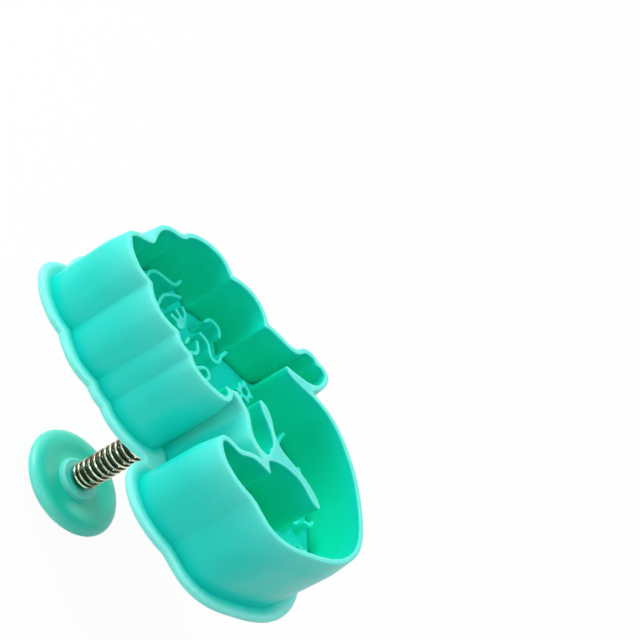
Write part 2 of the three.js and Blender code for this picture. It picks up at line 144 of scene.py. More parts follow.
# Raised lines of the stamp, drawn a little large and brought to size about this point
RELIEF_SCALE = 0.98
RELIEF_MIDDLE = np.array([8.1, -0.2])
RELIEF_LINES = [
    # hair
    [(-6.9, 34.8), (-6.4, 33.5), (-5.4, 32.1), (-3.9, 31.1), (-1.6, 30.7)],
    [(3, 31), (5, 31.2), (6.8, 30.5), (8, 28.8), (9.2, 26.5), (10.5, 25.6), (12.4, 25.6)],
    [(-6.6, 28.1), (-5.3, 26.1), (-3.3, 24.8), (-1, 24.5), (2.2, 25.3), (4.4, 25.5), (6.8, 24.5),
     (8.9, 23)],
    [(-9.6, 24.7), (-8.6, 23.3), (-8.2, 21.6), (-8.9, 18.8)],
    [(-11.2, 10.3), (-10.4, 11.5), (-9.3, 12.4), (-7.5, 12.9)],
    [(-7.7, 9.4), (-6.4, 9.6), (-5.2, 8.8), (-4.8, 7.5), (-5.4, 6.5), (-7, 6.2)],
    [(-3.7, 12.3), (-2.4, 10.2), (-0.4, 9), (1.1, 8.4), (1.7, 7.3), (1, 6), (-0.8, 5.8), (-2.5, 5.2),
     (-3.7, 4)],
    [(7.4, 14.2), (7.8, 12.5), (7.2, 10.7), (6, 9.4), (5.8, 8), (7, 7), (9, 7.5), (11.4, 7.5)],
    [(11.8, 15.5), (13.4, 15.2), (14.4, 13.6), (14.1, 12), (12.8, 11)],
    # lashes, nose and mouth
    [(-3, 17.4), (-4.4, 17.6), (-5.6, 18.1)],
    [(-2.7, 18), (-3.7, 19.7)],
    [(-1.4, 18.2), (-1.8, 20.2)],
    [(3, 19), (2.4, 21.1)],
    [(4.7, 19.2), (4.9, 21.4)],
    [(5.2, 18.6), (6.6, 19.3), (7.4, 20.9)],
    [(1, 14.8), (2.6, 15.1)],
    [(0.5, 12.6), (1.2, 11.9), (2.2, 11.6), (3.3, 12), (4.5, 13.3)],
    # strap between the two stars
    [(5, -1.8), (7.2, -1.7)],
    # edge of the tail and its scales
    [(-1, -13.6), (1.2, -14.3), (3, -15.7), (4.6, -17.2), (5.6, -17.5), (6.8, -16.8), (8.6, -15.4),
     (10.8, -14.6), (13.5, -14.4)],
    [(-1.4, -20.1), (-0.9, -21.6), (0.5, -22.5), (1.7, -22.2), (2.4, -21.5)],
    [(6.6, -21.4), (7.4, -23.1), (8.9, -23.8), (10, -23.1), (10.7, -22.2)],
    [(1.1, -25.1), (1.6, -26.9), (3, -27.6), (4.1, -27.2), (4.7, -26.6)],
    [(-3.1, -28.5), (-2.4, -29.6), (-1.2, -29.9)],
    [(1.1, -31.3), (1.8, -32.4), (3.2, -32.5)],
    [(-5.8, -33.9), (-5.5, -34.9), (-4.8, -35.4)],
    # rays of the fin
    [(-19.8, -13.2), (-19.1, -14.8), (-20, -17.4), (-20.7, -19.6), (-20, -21.8), (-17.6, -24.1),
     (-16, -26.4), (-15, -29.3)],
    [(-10.8, -18.6), (-10.1, -20.6), (-11, -22.8), (-12.4, -24.8), (-12.7, -27), (-11.8, -30),
     (-10.4, -32.2)],
]

# Raised dots of the stamp: centre, half width, half height and tilt
RELIEF_DOTS = [
    ((-1.8, 17.4), (1.8, 1.2), 0.1),  # eyes
    ((3.5, 18.6), (1.9, 1.2), 0.2),
    ((5.7, -11.9), (0.6, 0.6), 0),  # navel
]

# Two starfish with a round hole each, drawn about their own middle
STAR = [(-2.3, 2.2), (-1.1, 1.7), (0, 2.5), (1.1, 1.7), (2.3, 2.2), (1.6, -0.4), (1.4, -2.4), (0, -1.8),
        (-1.4, -2.4), (-1.6, -0.4)]
STAR_HOLE = 0.95
STAR_CENTRES = [(3, -2.1), (9, -1.6)]


# Lines and outlines in plan


def even(line, step, closed=True):
    """The line again, with points at even steps."""
    path = np.vstack([line, line[:1]]) if closed else np.asarray(line, float)
    run = np.concatenate([[0], np.cumsum(np.linalg.norm(np.diff(path, axis=0), axis=1))])
    count = max(2, round(run[-1] / step))
    at = np.linspace(0, run[-1], count + 1)
    points = np.stack([np.interp(at, run, path[:, k]) for k in range(2)], 1)
    return points[:-1] if closed else points


def spline(points, step):
    """Points at even steps along a smooth curve through the given points."""
    samples = 24
    through = np.asarray(points, float)
    padded = np.vstack([through[:1], through, through[-1:]])
    t = np.linspace(0, 1, samples, endpoint=False)[:, None]
    stretches = []
    for before, start, end, after in zip(padded, padded[1:], padded[2:], padded[3:]):
        leave = (end - before) / 2
        arrive = (after - start) / 2
        stretches.append(
            (2 * t**3 - 3 * t**2 + 1) * start
            + (t**3 - 2 * t**2 + t) * leave
            + (3 * t**2 - 2 * t**3) * end
            + (t**3 - t**2) * arrive
        )
    return even(np.vstack([*stretches, through[-1:]]), step, closed=False)


def figure_outline():
    """The figure's outline as one counter-clockwise loop."""
    stretches = []
    corner = FIGURE[-1][-1]
    for row in FIGURE:
        through = [point for point in row if point != corner]
        stretches.append(spline([corner, *through], OUTLINE_STEP)[:-1])
        corner = row[-1]
    loop = np.vstack(stretches) - (0, AXIS_Y)
    return loop if area(loop) > 0 else loop[::-1]


def area(loop):
    """Area inside a loop, negative where it runs clockwise."""
    x, y = loop.T
    return 0.5 * np.sum(x * np.roll(y, -1) - np.roll(x, -1) * y)


def line_distance(points, start, end):
    """Distance from each point to the nearest of the segments."""
    along = end - start
    length_squared = np.maximum((along**2).sum(1), 1e-12)
    nearest = []
    for some in np.array_split(points, max(1, len(points) // 1000)):
        reach = some @ along.T - (start * along).sum(1)
        t = np.clip(reach / length_squared, 0, 1)
        from_start = (some**2).sum(1)[:, None] - 2 * some @ start.T + (start**2).sum(1)
        squared = from_start + t * (t * length_squared - 2 * reach)
        nearest.append(np.sqrt(np.maximum(squared.min(1), 0)))
    return np.concatenate(nearest)


def inside(points, loops):
    """Whether each point is inside an odd number of the loops."""
    odd = np.zeros(len(points), bool)
    for loop in loops:
        for (ax, ay), (bx, by) in zip(loop, np.roll(loop, -1, 0)):
            if ay != by:
                between = (ay > points[:, 1]) != (by > points[:, 1])
                odd ^= between & (points[:, 0] < ax + (points[:, 1] - ay) / (by - ay) * (bx - ax))
    return odd


def loop_distance(points, loop):
    """Distance from each point to a loop, negative inside it."""
    away = line_distance(points, loop, np.roll(loop, -1, 0))
    return np.where(inside(points, [loop]), -away, away)


class Field:
    """A distance worked out on a square grid, for reading outlines at any level within the band.
    Beyond the band the grid only holds the value of a coarser one."""

    def __init__(self, distance, low, high, cell, band):
        stride = 5
        coarse_xs = np.arange(low[0], high[0] + stride * cell, stride * cell)
        coarse_ys = np.arange(low[1], high[1] + stride * cell, stride * cell)
        x, y = np.meshgrid(coarse_xs, coarse_ys)
        coarse = distance(np.stack([x.ravel(), y.ravel()], 1)).reshape(x.shape)
        self.value = coarse.repeat(stride, 0).repeat(stride, 1)
        self.xs = low[0] + cell * np.arange(self.value.shape[1])
        self.ys = low[1] + cell * np.arange(self.value.shape[0])
        x, y = np.meshgrid(self.xs, self.ys)
        near = np.abs(self.value) < band + 2 * stride * cell
        self.value[near] = distance(np.stack([x[near], y[near]], 1))

    def loops(self, level):
        """Closed loops at that level, each with the lower side on its left."""
        value = self.value - level
        low = value < 0
        count = low[:-1, :-1].astype(int) + low[:-1, 1:] + low[1:, :-1] + low[1:, 1:]
        following = {}
        place = {}
        for j, i in zip(*np.nonzero((count > 0) & (count < 4))):
            corners = [(j, i), (j, i + 1), (j + 1, i + 1), (j + 1, i)]
            crossed = []
            for a, b in zip(corners, corners[1:] + corners[:1]):
                if low[a] != low[b]:
                    edge = (min(a, b), max(a, b))
                    t = value[a] / (value[a] - value[b])
                    x = self.xs[a[1]] + t * (self.xs[b[1]] - self.xs[a[1]])
                    y = self.ys[a[0]] + t * (self.ys[b[0]] - self.ys[a[0]])
                    place[edge] = (x, y)
                    crossed.append((edge, low[a]))
            for k, (edge, leaving) in enumerate(crossed):
                if leaving:
                    following[edge] = crossed[(k + 1) % len(crossed)][0]
        found = []
        while following:
            edge = next(iter(following))
            loop = []
            while edge in following:
                loop.append(place[edge])
                edge = following.pop(edge)
            found.append(np.array(loop))
        return found

    def outline(self, level):
        """The largest loop at that level."""
        return max(self.loops(level), key=area)


def loop_field(loop, band, cell=GRID):
    """Distance from a loop, out to the band."""
    low = loop.min(0) - band - 1
    high = loop.max(0) + band + 1
    return Field(lambda points: loop_distance(points, loop), low, high, cell, band)


def offset(loop, distance):
    """The loop moved out by a distance, or in by a negative one."""
    return even(loop_field(loop, abs(distance)).outline(distance), OUTLINE_STEP)


def creased(loop, step):
    """The loop again at even steps, with a point kept at each sharp turn inwards."""
    reach = 3
    sharp = math.radians(25)
    fine = even(loop, step / reach)
    ahead = np.roll(fine, -reach, 0) - fine
    behind = fine - np.roll(fine, reach, 0)
    across = behind[:, 0] * ahead[:, 1] - behind[:, 1] * ahead[:, 0]
    turn = np.arctan2(across, (behind * ahead).sum(1))
    around = np.stack([np.roll(turn, shift) for shift in range(-2 * reach, 2 * reach + 1)])
    corners = np.flatnonzero((turn < -sharp) & (turn == around.min(0)))
    fine = np.roll(fine, -corners[0], 0)
    bounds = [*(corners - corners[0]), len(fine)]
    closed = np.vstack([fine, fine[:1]])
    stretches = [even(closed[a:b + 1], step, closed=False)[:-1] for a, b in zip(bounds, bounds[1:])]
    return np.vstack(stretches)


def outward(loop):
    """Vectors out of a counter-clockwise loop, which move each of its edges by one."""
    along = np.roll(loop, -1, 0) - loop
    along /= np.linalg.norm(along, axis=1)[:, None]
    after = np.stack([along[:, 1], -along[:, 0]], 1)
    before = np.roll(after, 1, 0)
    return (before + after) / (1 + (before * after).sum(1))[:, None]


def circle(radius, segments=64):
    turn = np.linspace(0, 2 * np.pi, segments, endpoint=False)
    return radius * np.stack([np.cos(turn), np.sin(turn)], 1)


# Meshes


class Shape:
    """Points and faces of a piece while it is built, in millimetres, with a tone at each point:
    from 0 to 1 for a painted highlight that makes the plastic paler, from 0 to -1 for painted shade that
    makes it deeper.
    Faces are made so that they look out of the piece when rings go up its outside and down its inside."""

    def __init__(self):
        self.points = []
        self.tones = []
        self.faces = []

    def ring(self, loop, z, tone=0):
        """Points along a loop, at one height and tone or at one for each point."""
        first = len(self.points)
        heights = np.broadcast_to(z, len(loop))
        self.points.extend((x, y, height) for (x, y), height in zip(loop, heights))
        self.tones.extend(np.broadcast_to(tone, len(loop)).tolist())
        return np.arange(first, first + len(loop))

    def rings(self, loop, profile):
        """Rings that follow a loop, joined in turn: each row is how far out, the height and the tone."""
        sideways = outward(loop)
        made = [self.ring(loop + out * sideways, z, tone) for out, z, tone in profile]
        self.join(made)
        return made

    def lathe(self, profile, segments=ROUND_SEGMENTS):
        """Rings of a round piece, joined in turn: each row is the radius, the height and the tone."""
        made = [self.ring(circle(radius, segments), z, tone) for radius, z, tone in profile]
        self.join(made)
        return made

    def join(self, rings):
        for first, second in zip(rings, rings[1:]):
            quads = zip(first, np.roll(first, -1), np.roll(second, -1), second)
            self.faces.extend(tuple(map(int, quad)) for quad in quads)

    def fan(self, ring, z, up):
        """Closes a round ring with a point at its middle."""
        middle = len(self.points)
        self.points.append((0, 0, z))
        self.tones.append(self.tones[ring[0]])
        for a, b in zip(ring, np.roll(ring, -1)):
            self.faces.append((int(a), int(b), middle) if up else (int(b), int(a), middle))

    def fill(self, borders, up, between=()):
        """Triangles over the area inside the border rings, through the points of the rings between."""
        rings = [*borders, *between]
        used = np.concatenate(rings)
        plan = np.array([self.points[k][:2] for k in used])
        edges = []
        first = 0
        for ring in rings:
            own = np.arange(first, first + len(ring))
            edges.extend(zip(own.tolist(), np.roll(own, -1).tolist()))
            first += len(ring)
        vectors = [tuple(point) for point in plan]
        _, _, faces, origins, *_ = delaunay_2d_cdt(vectors, edges, [], 0, SAME_PLACE, True)
        source = [used[origin[0]] for origin in origins]
        triangles = np.array([[source[k] for k in face] for face in faces])
        corners = np.array(self.points)[triangles][:, :, :2]
        loops = [np.array([self.points[k][:2] for k in ring]) for ring in borders]
        wanted = inside(corners.mean(1), loops)
        for (a, b, c), corner in zip(triangles[wanted].tolist(), corners[wanted]):
            self.faces.append((a, b, c) if (area(corner) > 0) == up else (a, c, b))

    def piece(self, name, finish, sharp=math.radians(38)):
        """The shape as an object, shaded smooth up to the sharp angle."""
        mesh = bpy.data.meshes.new(name)
        mesh.from_pydata([(x * MM, y * MM, z * MM) for x, y, z in self.points], [], self.faces)
        mesh.attributes.new("tone", "FLOAT", "POINT").data.foreach_set("value", self.tones)
        mesh.validate()
        mesh.shade_smooth()
        mesh.set_sharp_from_angle(angle=sharp)
        mesh.materials.append(finish)
        made = bpy.data.objects.new(name, mesh)
        bpy.context.scene.collection.objects.link(made)
        return made


def toned(profile, tone):
    """The rows of a profile, each with the same tone."""
    return [(out, z, tone) for out, z in profile]


def smooth_profile(points):
    """Points of a profile at even steps along a smooth curve."""
    step = 0.35
    return [tuple(point) for point in spline(points, step)]


def arc(middle, radius, start, end, steps):
    """Points of a profile on an arc, with angles in degrees from outwards towards up."""
    turn = np.radians(np.linspace(start, end, steps + 1))
    return [(middle[0] + radius * math.cos(a), middle[1] + radius * math.sin(a)) for a in turn]


# Materials


def material(name):
    """A new material with its node tree and its shader."""
    made = bpy.data.materials.new(name)
    made.use_nodes = True
    tree = made.node_tree
    return made, tree, tree.nodes["Principled BSDF"]


def node(tree, kind, values=None, **settings):
    """A new node, with values for its inputs and settings of its own."""
    made = tree.nodes.new(kind)
    for key, value in settings.items():
        setattr(made, key, value)
    for key, value in (values or {}).items():
        made.inputs[key].default_value = value
    return made


def noise(tree, place, scale, detail=2):
    made = node(tree, "ShaderNodeTexNoise", {"Scale": scale, "Detail": detail})
    tree.links.new(place.outputs["Object"], made.inputs["Vector"])
    return made.outputs["Fac"]


def spread(tree, value, low, high):
    """A noise value, which is mostly from 0.3 to 0.7, brought to a range."""
    limits = {"From Min": 0.3, "From Max": 0.7, "To Min": low, "To Max": high}
    made = node(tree, "ShaderNodeMapRange", limits)
    tree.links.new(value, made.inputs["Value"])
    return made.outputs["Result"]


def mottle(tree, value, first, second):
    """Two colours that go into each other with a noise value."""
    ramp = node(tree, "ShaderNodeValToRGB")
    for stop, position, colour in zip(ramp.color_ramp.elements, (0.35, 0.65), (first, second)):
        stop.position = position
        stop.color = colour
    tree.links.new(value, ramp.inputs["Fac"])
    return ramp.outputs["Color"]


def bump(tree, value, strength, distance):
    made = node(tree, "ShaderNodeBump", {"Strength": strength, "Distance": distance})
    tree.links.new(value, made.inputs["Height"])
    return made.outputs["Normal"]


def tinted(tree, colour, tint, tone, sign):
    """A colour that goes over to a tint where the tone has that sign."""
    factor = node(tree, "ShaderNodeMath", {1: sign}, operation="MULTIPLY", use_clamp=True)
    mixed = node(tree, "ShaderNodeMix", data_type="RGBA")
    mixed.inputs["B"].default_value = tint
    tree.links.new(tone, factor.inputs[0])
    tree.links.new(factor.outputs[0], mixed.inputs["Factor"])
    tree.links.new(colour, mixed.inputs["A"])
    return mixed.outputs["Result"]


# Colour that the plastic goes over to where the tone is above 0: a painted highlight
PAINTED_HIGHLIGHT_TINT = (0.27, 0.83, 0.79, 1)
# Colour that the wire goes over to where the tone is below 0: painted shade
PAINTED_SHADE_WIRE = (0.15, 0.14, 0.08, 1)


def moulded_plastic(name, first, second, painted_shade):
    """Plastic mottled between two colours, paler with a painted highlight at thin edges and deeper with
    painted shade where little light gets to.
    """
    made, tree, shader = material(name)
    place = node(tree, "ShaderNodeTexCoord")
    tone = node(tree, "ShaderNodeAttribute", attribute_name="tone").outputs["Fac"]
    clouds = noise(tree, place, scale=45)
    wear = noise(tree, place, scale=160, detail=4)
    grain = noise(tree, place, scale=1800, detail=3)
    colour = mottle(tree, clouds, first, second)
    # painted highlight where the tone is above 0, painted shade where it is below
    colour = tinted(tree, colour, PAINTED_HIGHLIGHT_TINT, tone, sign=1)
    colour = tinted(tree, colour, painted_shade, tone, sign=-1)
    tree.links.new(colour, shader.inputs["Base Color"])
    tree.links.new(spread(tree, wear, low=0.28, high=0.36), shader.inputs["Roughness"])
    tree.links.new(bump(tree, grain, strength=0.06, distance=0.08 * MM), shader.inputs["Normal"])
    shader.inputs["Subsurface Weight"].default_value = 0.9
    shader.inputs["Subsurface Radius"].default_value = (0.1, 1.0, 0.6)
    shader.inputs["Subsurface Scale"].default_value = 1 * MM
    shader.inputs["Specular IOR Level"].default_value = 0.4
    return made


def drawn_wire():
    """Wire with painted glints, bright and broken along it, and painted shade on the inner side of the
    coil.
    """
    made, tree, shader = material("spring_steel")
    place = node(tree, "ShaderNodeTexCoord")
    tone = node(tree, "ShaderNodeAttribute", attribute_name="tone").outputs["Fac"]
    glints = noise(tree, place, scale=500, detail=3)
    wear = noise(tree, place, scale=900, detail=3)
    scratches = noise(tree, place, scale=6000, detail=2)
    # the base colour goes from dark olive to bright cream along the wire: painted glints
    colour = mottle(tree, glints, (0.16, 0.15, 0.09, 1), (0.95, 0.9, 0.7, 1))
    colour = tinted(tree, colour, PAINTED_SHADE_WIRE, tone, sign=-1)
    tree.links.new(colour, shader.inputs["Base Color"])
    tree.links.new(spread(tree, wear, low=0.08, high=0.16), shader.inputs["Roughness"])
    tree.links.new(bump(tree, scratches, strength=0.1, distance=0.03 * MM), shader.inputs["Normal"])
    shader.inputs["Metallic"].default_value = 1.0
    return made


# Pieces


# Edges that are mostly hidden: chamfers, and a rounded edge as steps sideways and along the axis
CHAMFER = 0.3
STEM_CHAMFER = 0.5
BOSS_FILLET = 0.8
BORE_DEPTH = 0.2  # of a ring just below the upper edge of the bore
SOFT_EDGE = [(0.4, 0), (0.12, 0.12), (0, 0.4)]

# Profiles of the cutter's wall and flange: distance outwards, and height above the crest of the flange
FOOT_HEIGHT = -0.42
FLANGE_RISE = [(0.4, -0.4), (0.8, -0.33), (1.2, -0.22), (1.5, -0.12), (1.8, -0.05)]
BEAD = (FLANGE_FRONT - FLANGE_BACK) / 2
BACK_EDGE = 0.5  # how far inside the bead the flat back ends
FLANGE_ROLL = [(-BEAD - BACK_EDGE, -2 * BEAD), *arc((-BEAD, -BEAD), BEAD, -90, 90, 12)]
RIM_ROUND = 0.3  # of the rim's outer edge
RIM_SOFT = 0.12  # of its inner edge, less than the rounding of the corners that point in
RIM_OUTSIDE = arc((-RIM_ROUND, -RIM_ROUND), RIM_ROUND, 10, 90, 5)
RIM_INSIDE = arc((RIM_SOFT, -RIM_SOFT), RIM_SOFT, 90, 180, 4)

# Depths of the rings on the outside of the wall, below the cutting edge, closer where the taper begins
WALL_DEPTHS = [16, 12, 9, 7.2, 6.8, 6.4, 6, 5.6, 5.2, 4.8, 3, 1.5]

# Tones of the flange, of the rim, and down the outside and the inside of the wall from the cutting edge: a
# painted highlight on the flange, rim and webs and high up the outside, painted shade deepening down the
# inside
FLANGE_TONE = 0.85
RIM_TONE = 0.4
WEB_TONE = 0.15
WEB_EDGE = 0.75  # width of the painted highlight along the edge of the webs
OUTSIDE_TONES = [(0, 2, 5, 10), (0.3, 0.22, 0.1, 0)]
INSIDE_TONES = [(0.5, 0), (1.5, -0.5), (4, -0.8), (9, -1)]


def taper(below):
    """How far the outside of the wall is drawn in at a depth below the cutting edge."""
    slope = TAPER / TAPER_HEIGHT
    blend = 1.2  # the bend's half length
    if below > TAPER_HEIGHT + blend:
        return 0
    if below > TAPER_HEIGHT - blend:
        return slope * (TAPER_HEIGHT + blend - below)**2 / (4 * blend)
    return slope * (TAPER_HEIGHT - below)


def cutter_shell(cavity):
    """Cutting wall with its webs, flange, back plate and guide boss."""
    shape = Shape()
    rim_loop = offset(offset(cavity, WALL + WEB), -WEB)
    around = loop_field(rim_loop, FLANGE_WIDTH + FLANGE_VALLEY)
    wall_loop = creased(loop_field(rim_loop, TAPER, FINE_GRID).outline(TAPER), OUTLINE_STEP)
    flange_loop = offset(even(around.outline(FLANGE_WIDTH + FLANGE_VALLEY), OUTLINE_STEP), -FLANGE_VALLEY)

    def rim_distance(points):
        return np.maximum(loop_distance(points, rim_loop), -loop_distance(points, cavity))

    # underside: hole for the stem, boss, flat back of the plate
    lower = shape.lathe(toned([
        (HOLE_RADIUS, FLANGE_FRONT - BORE_DEPTH),
        (HOLE_RADIUS, BOSS_BACK + CHAMFER),
        (HOLE_RADIUS + CHAMFER, BOSS_BACK),
        *[(BOSS_RADIUS - sideways, BOSS_BACK + along) for sideways, along in SOFT_EDGE],
        *arc((BOSS_RADIUS + BOSS_FILLET, FLANGE_BACK - BOSS_FILLET), BOSS_FILLET, 180, 90, 5),
    ], 0))
    # flange: round bead along its edge, and a dip towards the foot of the wall, with a painted highlight
    # that fades out down the dip
    edge = shape.rings(flange_loop, [(out, FLANGE_FRONT + up, FLANGE_TONE) for out, up in FLANGE_ROLL])
    shape.fill([lower[-1], edge[0]], up=False)
    foot_depth = RIM_Z - FLANGE_FRONT - FOOT_HEIGHT
    # outside of the wall with a painted highlight that is strongest near the cutting edge, and the rim
    # with a painted highlight
    sides = shape.rings(wall_loop, [
        *[(-taper(below), RIM_Z - below, np.interp(below, *OUTSIDE_TONES))
          for below in (foot_depth, *WALL_DEPTHS)],
        *[(out - TAPER, RIM_Z + up, RIM_TONE) for out, up in RIM_OUTSIDE],
    ])
    foot = loop_field(wall_loop, FLANGE_WIDTH)
    levels = []
    for distance, height in FLANGE_RISE:
        # painted highlight, down to none at the foot of the wall
        tone = FLANGE_TONE * (1 - height / FOOT_HEIGHT)
        for loop in foot.loops(distance):
            if len(loop) > LEAST_POINTS:
                levels.append(shape.ring(even(loop, LEVEL_STEP), FLANGE_FRONT + height, tone))
    shape.fill([edge[-1], sides[0]], up=True, between=levels)
    # rim with a painted highlight, then inner wall and floor with painted shade that deepens downwards
    inner = shape.rings(cavity, [
        *[(out, RIM_Z + up, RIM_TONE) for out, up in RIM_INSIDE],
        *[(0, RIM_Z - below, tone) for below, tone in INSIDE_TONES],
        (0, FLANGE_FRONT, -1),
    ])
    low, high = wall_loop.min(0), wall_loop.max(0)
    webs = []
    # webs, with a painted highlight along their edges
    for loop in Field(rim_distance, low, high, GRID, band=WALL).loops(-WEB_EDGE):
        if len(loop) > LEAST_POINTS:
            webs.append(shape.ring(even(loop, LEVEL_STEP), RIM_Z, WEB_TONE))
    shape.fill([sides[-1], inner[0]], up=True, between=webs)
    bore = shape.ring(circle(HOLE_RADIUS, ROUND_SEGMENTS), FLANGE_FRONT)
    shape.fill([inner[-1], bore], up=True)
    shape.join([bore, lower[0]])
    return shape


class Relief:
    """The raised drawing on the stamp."""

    def __init__(self):
        lines = [spline(self.placed(line), LEVEL_STEP) for line in RELIEF_LINES]
        self.starts = np.vstack([line[:-1] for line in lines])
        self.ends = np.vstack([line[1:] for line in lines])
        self.dots = []
        for middle, half, tilt in RELIEF_DOTS:
            turned = circle(1, segments=40) * half @ np.array(Matrix.Rotation(-tilt, 2))
            self.dots.append(turned + self.placed([middle]))
        self.centres = self.placed(STAR_CENTRES)

    def placed(self, points):
        """Points of the drawing in the frame's plan."""
        return RELIEF_MIDDLE + RELIEF_SCALE * (np.asarray(points, float) - RELIEF_MIDDLE) - (0, AXIS_Y)

    def distance(self, points):
        """Distance from the drawing's edge, negative on the drawing."""
        nearest = line_distance(points, self.starts, self.ends) - RELIEF_WIDTH / 2
        for dot in self.dots:
            nearest = np.minimum(nearest, loop_distance(points, dot))
        for centre in self.centres:
            star = loop_distance(points, np.array(STAR, float)[::-1] + centre)
            hole = STAR_HOLE - np.linalg.norm(points - centre, axis=1)
            nearest = np.minimum(nearest, np.maximum(star, hole))
        return nearest


# Profile of a raised line: distance from its edge, height above the stamp's face, and tone: painted shade
# down its sides, a painted highlight on its top
RELIEF_PROFILE = [(0.28, 0, 0), (0.13, 0.03, -0.2), (0.05, 0.13, -0.4), (0.01, 0.35, -0.5),
                  (-0.03, RELIEF_HEIGHT - 0.3, -0.2), (-0.07, RELIEF_HEIGHT - 0.14, 0),
                  (-0.15, RELIEF_HEIGHT - 0.04, 0.1), (-0.27, RELIEF_HEIGHT, 0.15)]

# Rounded edge of the stamp's face: distance inwards and below the face
STAMP_EDGE = [(0, 0.35), (0.05, 0.16), (0.17, 0.04), (0.35, 0)]


def stamp(cavity):
    """Embossing plate with the raised drawing, skirt and post."""
    shape = Shape()
    edge_loop = offset(cavity, -STAMP_CLEARANCE)
    low, high = edge_loop.min(0), edge_loop.max(0)

    def hollow_distance(points):
        to_skirt = loop_distance(points, edge_loop) + SKIRT
        to_boss = POST_BOSS - np.linalg.norm(points, axis=1)
        return np.maximum(to_skirt, to_boss)

    # post with its socket
    post = shape.lathe(toned([
        (HOLE_RADIUS, SOCKET_TOP),
        (HOLE_RADIUS, POST_FOOT + CHAMFER),
        (HOLE_RADIUS + CHAMFER, POST_FOOT),
        (POST_RADIUS - CHAMFER, POST_FOOT),
        (POST_RADIUS, POST_FOOT + CHAMFER),
        (POST_RADIUS, STAMP_FOOT),
    ], 0))
    shape.fan(post[0], SOCKET_TOP, up=False)
    # hollow behind the plate, around the boss that the post stands on
    hollow = Field(hollow_distance, low, high, GRID, band=1)
    hollows = [even(loop, OUTLINE_STEP) for loop in hollow.loops(0)]
    ceilings = [shape.ring(loop, STAMP_FACE - STAMP_PLATE) for loop in hollows]
    feet = [shape.ring(loop, STAMP_FOOT) for loop in hollows]
    shape.fill(ceilings, up=False)
    for pair in zip(ceilings, feet):
        shape.join(pair)
    edge = shape.rings(edge_loop, toned([
        (0, STAMP_FOOT), *[(-inwards, STAMP_FACE - below) for inwards, below in STAMP_EDGE],
    ], 0))
    shape.fill([edge[0], *feet, post[-1]], up=False)
    # face and raised drawing
    drawing = Field(Relief().distance, low, high, RELIEF_GRID, band=0.5)
    low_share = TAIL_RELIEF_HEIGHT / RELIEF_HEIGHT
    levels = []
    for distance, height, tone in RELIEF_PROFILE:
        for loop in drawing.loops(distance):
            share = np.interp(loop[:, 1], [TAIL_TOP_Y, BELLY_Y], [low_share, 1])
            share[loop[:, 0] < FIN_X] = 1
            levels.append(shape.ring(loop, STAMP_FACE + height * share, tone))
    shape.fill([edge[-1]], up=True, between=levels)
    return shape


# Tones of the knob: pale with a painted highlight towards its edge, by radius, and at its collar, and
# painted shade on the stem inside the spring
KNOB_TONES = [(10.4, 11.8), (0, 0.45)]
COLLAR_TONE = 0.6
STEM_TONE = -1

# Profiles of the knob, from its palm face around its edge, and of the collar: radius and height
PALM_RING = 3  # radius of a ring in the flat of the palm face
KNOB_RIM = [(6.5, 0), (8.4, 0.35), (10.4, 1.25), (11.9, 2.5), (12.55, 3.4), (12.45, 4.1), (11.8, 4.75),
            (10.8, 5.2), (9.8, 5.36), (8.8, 5.32), (7.8, 5.16), (6.9, 5), (6, 4.92), (5.4, 4.92)]
COLLAR = [(5.12, 4.98), (4.98, 5.12), (4.92, 5.35), (4.9, 5.65), (4.82, 5.88), (4.68, 6.02), (4.5, 6.08),
          (4.3, 6.06), (4.1, 6.02), (3.9, COLLAR_Z), (3.4, COLLAR_Z)]


def plunger_knob():
    """Push knob with its spring collar and stem."""
    shape = Shape()
    stem = [
        *[(STEM_RADIUS + sideways, COLLAR_Z + along) for sideways, along in SOFT_EDGE],
        (STEM_RADIUS, STEM_TOP - STEM_CHAMFER),
        (STEM_RADIUS - STEM_CHAMFER, STEM_TOP),
    ]
    made = shape.lathe([
        (PALM_RING, 0, 0),
        *[(radius, z, np.interp(radius, *KNOB_TONES)) for radius, z in smooth_profile(KNOB_RIM)],
        *toned(COLLAR, COLLAR_TONE),
        # stem in painted shade
        *toned(stem, STEM_TONE),
    ])
    shape.fan(made[0], 0, up=False)
    shape.fan(made[-1], STEM_TOP, up=True)
    return shape


# Tone across the wire, by distance out from its middle as a share of its thickness: painted shade on its
# inner side, none on its outer crest
WIRE_TONES = [(0.267, 0.433), (-1, 0)]


def return_spring():
    """One unbroken wire, wound closer at its ends."""
    steps_per_turn = 28
    sides = 12
    radius = (SPRING_OUTER - WIRE) / 2
    bottom = SPRING_BOTTOM + WIRE / 2
    main_turns = (SPRING_TOP - SPRING_BOTTOM - WIRE - 2 * END_TURNS * END_PITCH) / MAIN_PITCH
    turns = main_turns + 2 * END_TURNS
    steps = round(turns * steps_per_turn)
    section = circle(WIRE / 2, sides)
    tone = np.interp(section[:, 0] / WIRE, *WIRE_TONES)
    shape = Shape()
    made = []
    for step in range(steps + 1):
        turn = turns * step / steps
        close_turns = min(turn, END_TURNS) + max(turn - END_TURNS - main_turns, 0)
        height = bottom + close_turns * END_PITCH + (turn - close_turns) * MAIN_PITCH
        angle = 2 * math.pi * turn
        distance = radius + section[:, 0]
        loop = np.stack([distance * math.cos(angle), distance * math.sin(angle)], 1)
        made.append(shape.ring(loop, height + section[:, 1], tone))
    shape.join([ring[::-1] for ring in made])
    for end in (made[0], made[-1][::-1]):
        shape.faces.append(tuple(map(int, end)))
    return shape


def dress(shape, node_name, body, finish):
    """Puts a piece in place of a node of the frame, on its body."""
    made = shape.piece(f"{node_name}_dressed", finish)
    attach(made, body)
    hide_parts(node_name)
    return made


